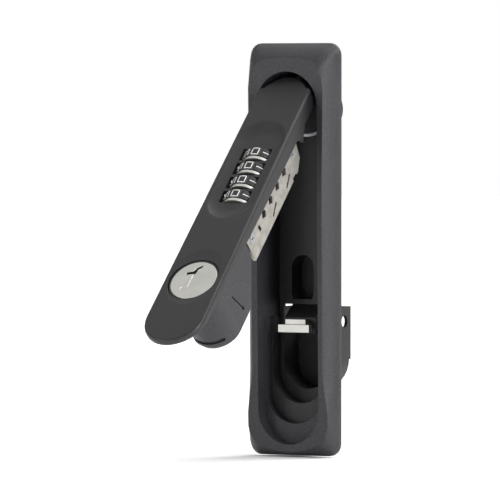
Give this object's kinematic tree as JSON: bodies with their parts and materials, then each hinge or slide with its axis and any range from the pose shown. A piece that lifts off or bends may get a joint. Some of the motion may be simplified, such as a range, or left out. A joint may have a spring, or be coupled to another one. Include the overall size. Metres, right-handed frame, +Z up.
{
  "type": "swing handle combination lock",
  "caption": "Black pop-out swing handle in a deep dish housing, with code wheels, a key cylinder, a sliding latch and a square drive behind the door.",
  "frame": {"origin": "centre of the housing's flange, on the plane of the door's front face", "axes": "+X to the right seen from in front of the door, +Y into the door, +Z up"},
  "size_m": [0.0406, 0.1371, 0.165],
  "materials": {
    "cast_black": "fine-textured matt powder coat on die-cast zinc",
    "handle_black": "smooth matt powder coat on die-cast zinc",
    "cap_black": "moulded satin",
    "wheel_black": "moulded satin with printed white digits",
    "zinc": "bare die-cast zinc, dull warm grey",
    "nickel": "satin nickel plate",
    "steel": "zinc-plated steel",
    "brass": "turned, unpolished"
  },
  "bodies": {
    "frame": {"housing": "cast_black", "keeper": "nickel", "keeper_screw": "steel"},
    "rotor": {"rotor": "cast_black", "rotor_washer": "steel", "retaining_ring": "steel"},
    "handle": {"handle_shell": "handle_black", "hinge_pin": "steel", "cassette_frame": "zinc", "cassette_cover": "zinc", "cassette_rivet_1_right": "steel", "cassette_rivet_1_left": "steel", "cassette_rivet_2_right": "steel", "cassette_rivet_2_left": "steel", "wheel_shaft": "steel", "detent_comb": "steel", "lock_block": "cast_black", "block_cap": "cap_black", "cylinder_body": "brass", "key_bezel": "cap_black"},
    "wheel_1": {"code_wheel_1": "wheel_black", "wheel_sleeve_1": "nickel"},
    "wheel_2": {"code_wheel_2": "wheel_black", "wheel_sleeve_2": "nickel"},
    "wheel_3": {"code_wheel_3": "wheel_black", "wheel_sleeve_3": "nickel"},
    "wheel_4": {"code_wheel_4": "wheel_black", "wheel_sleeve_4": "nickel"},
    "latch": {"latch": "zinc"},
    "key": {"key_plug": "nickel", "cylinder_cam": "steel", "cam_screw": "steel"}
  },
  "joints": [
    {"name": "handle_swing", "type": "hinge", "parent": "frame", "child": "rotor", "pos_m": [0, 0, 0.056], "axis": [0, 1, 0], "range_deg": [0, 90]},
    {"name": "handle_tilt", "type": "hinge", "parent": "rotor", "child": "handle", "pos_m": [0, -0.0045, 0.06394], "axis": [-1, 0, 0], "range_deg": [-45, 0]},
    {"name": "wheel_1_turn", "type": "hinge", "parent": "handle", "child": "wheel_1", "pos_m": [0, -0.02974, 0.03375], "axis": [0, 0.7071, 0.7071], "continuous": true},
    {"name": "wheel_2_turn", "type": "hinge", "parent": "handle", "child": "wheel_2", "pos_m": [0, -0.03519, 0.0283], "axis": [0, 0.7071, 0.7071], "continuous": true},
    {"name": "wheel_3_turn", "type": "hinge", "parent": "handle", "child": "wheel_3", "pos_m": [0, -0.04063, 0.02286], "axis": [0, 0.7071, 0.7071], "continuous": true},
    {"name": "wheel_4_turn", "type": "hinge", "parent": "handle", "child": "wheel_4", "pos_m": [0, -0.04608, 0.01741], "axis": [0, 0.7071, 0.7071], "continuous": true},
    {"name": "key_turn", "type": "hinge", "parent": "handle", "child": "key", "pos_m": [0, -0.08122, -0.01278], "axis": [0, -0.7071, 0.7071], "range_deg": [0, 90]},
    {"name": "latch_slide", "type": "slide", "parent": "handle", "child": "latch", "axis": [0, 0.7071, 0.7071], "range_m": [0, 0.0026]}
  ],
  "couplings": [
    {"joint": "key_turn", "follows": "latch_slide", "rad_per_m": 604.1}
  ]
}
